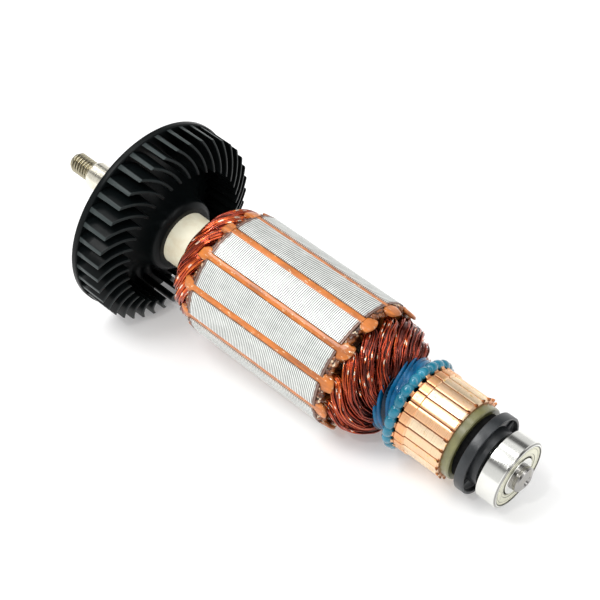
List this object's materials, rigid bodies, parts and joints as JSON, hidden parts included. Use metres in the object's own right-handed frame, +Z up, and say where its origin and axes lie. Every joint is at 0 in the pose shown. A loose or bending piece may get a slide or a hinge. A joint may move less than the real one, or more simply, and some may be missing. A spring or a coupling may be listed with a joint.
{
  "type": "motor armature",
  "caption": "Universal-motor armature: threaded drive shaft, radial fan, slotted core with lap coils, commutator and ball bearing",
  "frame": {"origin": "centre of the ball bearing, on the shaft's axis", "axes": "X along the shaft, +X from the threaded drive end to the ball bearing; Z up, Y to the left when looking along +X"},
  "size_m": [0.1606, 0.0568, 0.0568],
  "materials": {
    "shaft_steel": "turned steel, greyish",
    "fan_plastic": "black moulded plastic, satin",
    "ivory_plastic": "ivory insulating tube, satin",
    "core_steel": "ground edges of stacked electrical steel sheets",
    "varnished_board": "insulating board, dark with varnish",
    "coil_enamel": "enamelled copper wire, dark red-brown under varnish",
    "liner_paper": "insulating paper",
    "wedge_orange": "orange slot wedge under varnish",
    "blue_resin": "dark blue resin, glossy",
    "bead_resin": "blue resin beads, glossy",
    "copper": "turned copper, pale",
    "mica": "mica, matt brown",
    "olive_moulding": "olive moulding compound, satin",
    "bush_steel": "turned steel",
    "ring_plastic": "dark grey moulded plastic",
    "bearing_steel": "polished bearing steel",
    "shield_cream": "pressed shield, cream grey",
    "ball_steel": "polished bearing steel",
    "cage_steel": "pressed cage"
  },
  "bodies": {
    "bearing_outer": {"bearing_outer_ring": "bearing_steel", "bearing_shield_front": "shield_cream", "bearing_shield_back": "shield_cream"},
    "ball_cage": {"bearing_balls": "ball_steel", "ball_cage": "cage_steel"},
    "rotor": {"shaft": "shaft_steel", "fan": "fan_plastic", "insulation_tube": "ivory_plastic", "lamination_stack": "core_steel", "fan_end_insulator": "varnished_board", "commutator_end_insulator": "varnished_board", "coil_1": "coil_enamel", "coil_2": "coil_enamel", "coil_3": "coil_enamel", "coil_4": "coil_enamel", "coil_5": "coil_enamel", "coil_6": "coil_enamel", "coil_7": "coil_enamel", "coil_8": "coil_enamel", "coil_9": "coil_enamel", "coil_10": "coil_enamel", "coil_11": "coil_enamel", "coil_12": "coil_enamel", "slot_liner_1": "liner_paper", "slot_liner_2": "liner_paper", "slot_liner_3": "liner_paper", "slot_liner_4": "liner_paper", "slot_liner_5": "liner_paper", "slot_liner_6": "liner_paper", "slot_liner_7": "liner_paper", "slot_liner_8": "liner_paper", "slot_liner_9": "liner_paper", "slot_liner_10": "liner_paper", "slot_liner_11": "liner_paper", "slot_liner_12": "liner_paper", "slot_wedge_1": "wedge_orange", "slot_wedge_2": "wedge_orange", "slot_wedge_3": "wedge_orange", "slot_wedge_4": "wedge_orange", "slot_wedge_5": "wedge_orange", "slot_wedge_6": "wedge_orange", "slot_wedge_7": "wedge_orange", "slot_wedge_8": "wedge_orange", "slot_wedge_9": "wedge_orange", "slot_wedge_10": "wedge_orange", "slot_wedge_11": "wedge_orange", "slot_wedge_12": "wedge_orange", "lead_resin": "blue_resin", "hook_resin_beads": "bead_resin", "commutator_bars": "copper", "commutator_mica": "mica", "commutator_moulding": "olive_moulding", "commutator_bush": "bush_steel", "dust_ring": "ring_plastic", "bearing_inner_ring": "bearing_steel"}
  },
  "joints": [
    {"name": "rotor_spin", "type": "hinge", "parent": "bearing_outer", "child": "rotor", "pos_m": [0, 0, 0], "axis": [1, 0, 0], "continuous": true},
    {"name": "cage_spin", "type": "hinge", "parent": "bearing_outer", "child": "ball_cage", "pos_m": [0, 0, 0], "axis": [1, 0, 0], "continuous": true}
  ],
  "couplings": [
    {"joint": "cage_spin", "follows": "rotor_spin", "ratio": 0.3654}
  ]
}
